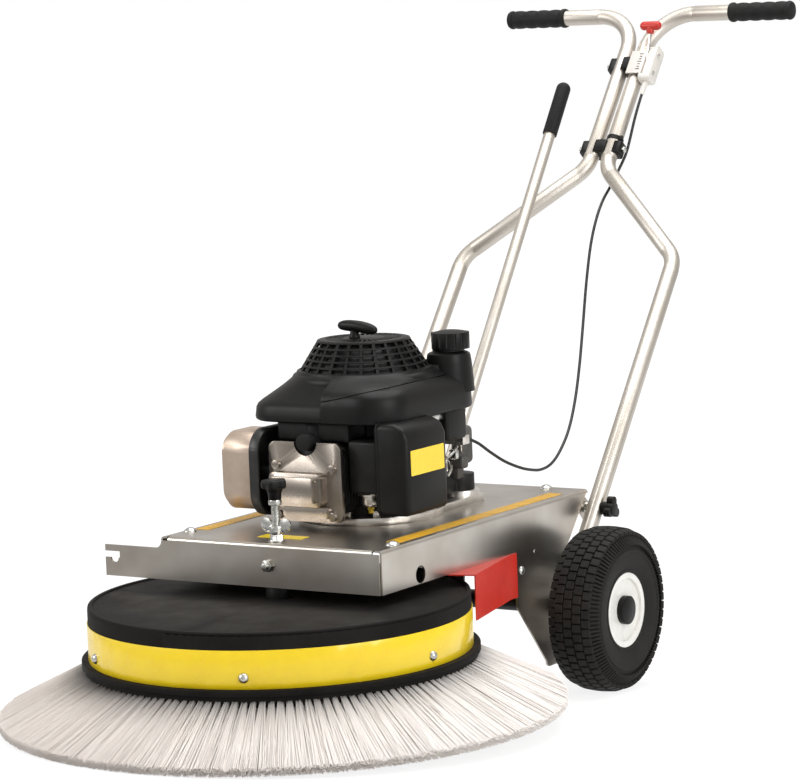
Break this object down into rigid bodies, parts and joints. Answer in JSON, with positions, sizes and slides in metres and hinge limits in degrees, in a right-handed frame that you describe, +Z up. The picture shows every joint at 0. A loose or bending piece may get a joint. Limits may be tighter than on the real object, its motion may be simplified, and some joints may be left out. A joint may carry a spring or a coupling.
{
  "type": "walk-behind radial brush sweeper",
  "caption": "Walk-behind sweeper with a wide horizontal radial brush under a folded sheet deck, a vertical-shaft petrol engine, two wheels, a tilt lever and a raked handle.",
  "frame": {"origin": "on the ground under the middle of the machine's length and width", "axes": "+X to the operator's left, +Y to the rear towards the operator, +Z up"},
  "size_m": [0.87, 1.641, 1.1282],
  "materials": {
    "zinc_sheet": "bright zinc-plated folded sheet",
    "zinc_tube": "zinc-plated tube",
    "bolt_zinc": "bright plated",
    "red_paint": "gloss enamel",
    "black_steel": "satin black",
    "cast_alloy": "as-cast",
    "black_alloy": "black painted casting",
    "exhaust_steel": "heat-stained pressed metal",
    "black_plastic": "moulded, lightly grained",
    "brush_plastic": "moulded",
    "band_yellow": "gloss film",
    "bristle_nylon": "drawn monofilament",
    "tyre_rubber": "moulded tread",
    "rim_white": "gloss enamel",
    "grip_rubber": "moulded",
    "white_plastic": "moulded",
    "red_plastic": "moulded",
    "shaft_steel": "ground",
    "cable_sleeve": "extruded"
  },
  "bodies": {
    "frame": {"deck_plate": "zinc_sheet", "front_plate": "zinc_sheet", "side_plate_left": "zinc_sheet", "side_plate_right": "zinc_sheet", "rear_wall": "zinc_sheet", "wheel_guard_left": "red_paint", "wheel_guard_right": "red_paint", "deck_bolts": "bolt_zinc", "axle_hangers": "black_steel", "gear_housing": "black_alloy", "spindle_nuts": "bolt_zinc", "engine_base": "cast_alloy", "crankcase": "black_alloy", "cylinder_block": "black_alloy", "valve_cover": "cast_alloy", "spark_plug_boot": "black_plastic", "muffler": "exhaust_steel", "muffler_shield": "black_steel", "air_cleaner": "black_plastic", "carburettor": "cast_alloy", "control_bracket": "black_plastic", "fan_cover": "black_plastic", "fuel_tank": "black_plastic", "recoil_grille": "black_plastic", "engine_bolts": "bolt_zinc", "throttle_cable": "cable_sleeve"},
    "brush": {"brush_disc": "brush_plastic", "brush_band": "band_yellow", "bristles": "bristle_nylon", "band_screws": "bolt_zinc", "brush_hub": "black_steel"},
    "crank": {"crankshaft": "shaft_steel", "flywheel": "black_alloy"},
    "axle": {"swing_axle": "black_steel", "tilt_lever": "zinc_tube", "lever_grip": "grip_rubber"},
    "wheel_left": {"tyre_left": "tyre_rubber", "rim_left": "rim_white", "wheel_cap_left": "black_plastic"},
    "wheel_right": {"tyre_right": "tyre_rubber", "rim_right": "rim_white", "wheel_cap_right": "black_plastic"},
    "handle": {"handle_tube_left": "zinc_tube", "handle_tube_right": "zinc_tube", "grip_left": "grip_rubber", "grip_right": "grip_rubber", "handle_clamps": "black_plastic", "handle_bolts": "bolt_zinc", "throttle_housing": "white_plastic"},
    "throttle": {"throttle_lever": "red_plastic"},
    "knob_left": {"handle_knob_left": "black_plastic"},
    "knob_right": {"handle_knob_right": "black_plastic"},
    "spindle": {"spindle_knob": "black_plastic"},
    "wing": {"wing_nut": "bolt_zinc"},
    "filler_cap": {"fuel_cap": "black_plastic"},
    "starter": {"starter_grip": "black_plastic"}
  },
  "joints": [
    {"name": "brush_spin", "type": "hinge", "parent": "frame", "child": "brush", "pos_m": [0, -0.39337, 0.19735], "axis": [0, -0.0519, 0.9987], "continuous": true},
    {"name": "crank_spin", "type": "hinge", "parent": "frame", "child": "crank", "pos_m": [0, -0.13619, 0.29683], "axis": [0, -0.0519, 0.9987], "continuous": true},
    {"name": "axle_swing", "type": "hinge", "parent": "frame", "child": "axle", "pos_m": [0, 0.02388, 0.16497], "axis": [0, 0.9987, 0.0519], "range_deg": [-4, 4]},
    {"name": "wheel_left_spin", "type": "hinge", "parent": "axle", "child": "wheel_left", "pos_m": [0.284, 0.12167, 0.133], "axis": [1, 0, 0], "continuous": true},
    {"name": "wheel_right_spin", "type": "hinge", "parent": "axle", "child": "wheel_right", "pos_m": [-0.284, 0.12167, 0.133], "axis": [1, 0, 0], "continuous": true},
    {"name": "handle_fold", "type": "hinge", "parent": "frame", "child": "handle", "pos_m": [0, 0.16287, 0.20724], "axis": [1, 0, 0], "range_deg": [-15, 0], "deforming": ["throttle_cable"]},
    {"name": "throttle_turn", "type": "hinge", "parent": "handle", "child": "throttle", "pos_m": [0.038, 0.72427, 1.00808], "axis": [1, 0, 0], "range_deg": [-10, 20]},
    {"name": "knob_left_turn", "type": "hinge", "parent": "handle", "child": "knob_left", "pos_m": [0.211, 0.21664, 0.28312], "axis": [1, 0, 0], "range_deg": [0, 360]},
    {"name": "knob_right_turn", "type": "hinge", "parent": "handle", "child": "knob_right", "pos_m": [-0.211, 0.21664, 0.28312], "axis": [-1, 0, 0], "range_deg": [0, 360]},
    {"name": "spindle_turn", "type": "hinge", "parent": "frame", "child": "spindle", "pos_m": [0, -0.39783, 0.28323], "axis": [0, -0.0519, 0.9987], "range_deg": [0, 360]},
    {"name": "wing_turn", "type": "hinge", "parent": "spindle", "child": "wing", "pos_m": [0, -0.39846, 0.29522], "axis": [0, -0.0519, 0.9987], "range_deg": [0, 360]},
    {"name": "filler_cap_turn", "type": "hinge", "parent": "frame", "child": "filler_cap", "pos_m": [0.1, -0.05166, 0.55858], "axis": [0, -0.0519, 0.9987], "range_deg": [0, 90]},
    {"name": "starter_pull", "type": "slide", "parent": "frame", "child": "starter", "axis": [0, 0.6021, 0.7984], "range_m": [0, 0.5], "stiffness_N_per_m": 12, "springref_m": -0.25}
  ],
  "couplings": [
    {"joint": "crank_spin", "follows": "brush_spin", "ratio": 6}
  ]
}
